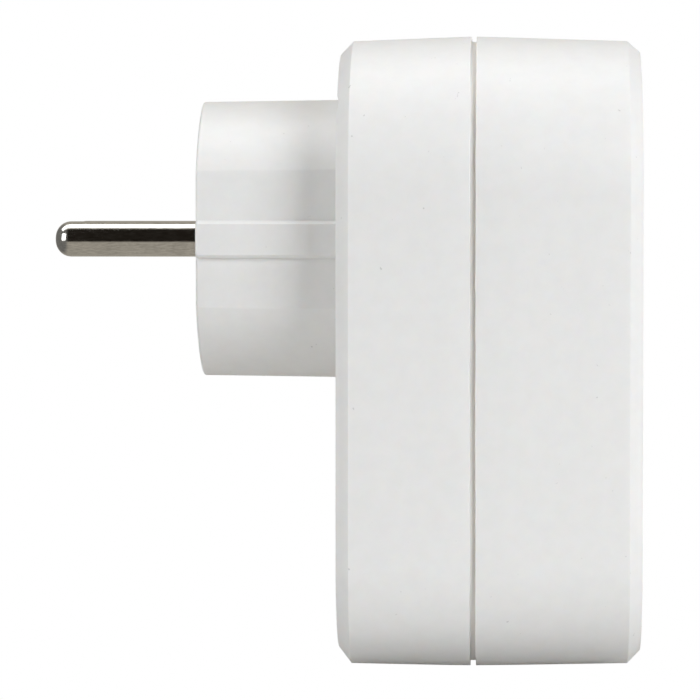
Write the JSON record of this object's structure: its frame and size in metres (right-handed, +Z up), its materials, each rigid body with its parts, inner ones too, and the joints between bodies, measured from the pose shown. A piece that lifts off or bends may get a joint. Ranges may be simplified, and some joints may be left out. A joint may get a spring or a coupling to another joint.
{
  "type": "plug in power meter",
  "caption": "Plug in energy meter: two-shell housing with a round Schuko plug on the back and a recessed Schuko socket, display window and push buttons on the front.",
  "frame": {"origin": "where the plug's axis meets the plane of the housing's rear face, which rests on the wall outlet", "axes": "+X out of the wall towards the user (the plug points along -X), +Z up, pins side by side along Y"},
  "size_m": [0.0791, 0.058, 0.0846],
  "materials": {
    "housing_white": "fine satin moulded plastic",
    "plug_white": "satin moulded plastic, a little glossier than the housing",
    "nickel_plate": "polished nickel plate, slightly warm",
    "brass": "bare pressed brass",
    "carrier_plastic": "off-white glass-filled plastic",
    "shutter_plastic": "smooth white plastic",
    "spring_steel": "bright spring wire",
    "circuit_board": "green solder mask on glass-fibre board",
    "black_plastic": "black moulded plastic",
    "capacitor_case": "yellow moulded box",
    "capacitor_can": "sleeved aluminium can",
    "varistor_coat": "blue epoxy dip",
    "fuse_glass": "clear glass tube with plated caps",
    "shunt_metal": "manganin strip",
    "steel_can": "plated steel",
    "battery_sleeve": "green shrink sleeve",
    "clear_window": "clear polished plastic",
    "display_glass": "grey-green reflective display glass",
    "elastomer": "pale pink striped elastomer",
    "button_grey": "satin grey plastic",
    "screw_steel": "zinc-plated steel"
  },
  "bodies": {
    "housing": {"backup_battery": "battery_sleeve", "battery_tabs": "steel_can", "board_link_header": "black_plastic", "board_link_pins": "nickel_plate", "carrier_screws": "screw_steel", "case_screws": "screw_steel", "contact_carrier": "carrier_plastic", "controller_chip": "black_plastic", "crystal": "steel_can", "current_shunt": "shunt_metal", "display_board": "circuit_board", "display_board_screws": "screw_steel", "display_window": "clear_window", "earth_bridge": "brass", "elastomer_strips": "elastomer", "film_capacitor": "capacitor_case", "front_shell": "housing_white", "fuse": "fuse_glass", "lcd_bezel": "black_plastic", "lcd_glass": "display_glass", "live_pin": "nickel_plate", "live_pin_strap": "brass", "live_socket_contact": "brass", "main_board": "circuit_board", "main_board_screws": "screw_steel", "metering_chip": "black_plastic", "neutral_pin": "nickel_plate", "neutral_pin_strap": "brass", "neutral_socket_contact": "brass", "plug_body": "plug_white", "plug_earth_contact_lower": "nickel_plate", "plug_earth_contact_upper": "nickel_plate", "rear_shell": "housing_white", "rectifier_diodes": "black_plastic", "retainer_screws": "screw_steel", "shutter_retainer": "carrier_plastic", "shutter_spring": "spring_steel", "smoothing_capacitor": "capacitor_can", "socket_cup": "housing_white", "tact_switches": "black_plastic", "varistor": "varistor_coat"},
    "shutter": {"shutter": "shutter_plastic"},
    "earth_clip_upper": {"earth_clip_upper": "nickel_plate"},
    "earth_clip_lower": {"earth_clip_lower": "nickel_plate"},
    "button_left": {"button_left": "button_grey", "switch_plunger_left": "black_plastic"},
    "button_centre": {"button_centre": "button_grey", "switch_plunger_centre": "black_plastic"},
    "button_right": {"button_right": "button_grey", "switch_plunger_right": "black_plastic"}
  },
  "joints": [
    {"name": "shutter_turn", "type": "hinge", "parent": "housing", "child": "shutter", "pos_m": [0.0197, 0, 0], "axis": [1, 0, 0], "range_deg": [0, 40], "stiffness_Nm_per_rad": 0.005, "springref_deg": -17.19, "deforming": ["shutter_spring"]},
    {"name": "earth_clip_upper_flex", "type": "hinge", "parent": "housing", "child": "earth_clip_upper", "pos_m": [0.0195, 0, 0.01875], "axis": [0, -1, 0], "range_deg": [0, 6], "stiffness_Nm_per_rad": 1},
    {"name": "earth_clip_lower_flex", "type": "hinge", "parent": "housing", "child": "earth_clip_lower", "pos_m": [0.0195, 0, -0.01875], "axis": [0, 1, 0], "range_deg": [0, 6], "stiffness_Nm_per_rad": 1},
    {"name": "button_left_press", "type": "slide", "parent": "housing", "child": "button_left", "axis": [-1, 0, 0], "range_m": [0, 0.0004], "stiffness_N_per_m": 4000, "springref_m": -0.0002},
    {"name": "button_centre_press", "type": "slide", "parent": "housing", "child": "button_centre", "axis": [-1, 0, 0], "range_m": [0, 0.0004], "stiffness_N_per_m": 4000, "springref_m": -0.0002},
    {"name": "button_right_press", "type": "slide", "parent": "housing", "child": "button_right", "axis": [-1, 0, 0], "range_m": [0, 0.0004], "stiffness_N_per_m": 4000, "springref_m": -0.0002}
  ]
}
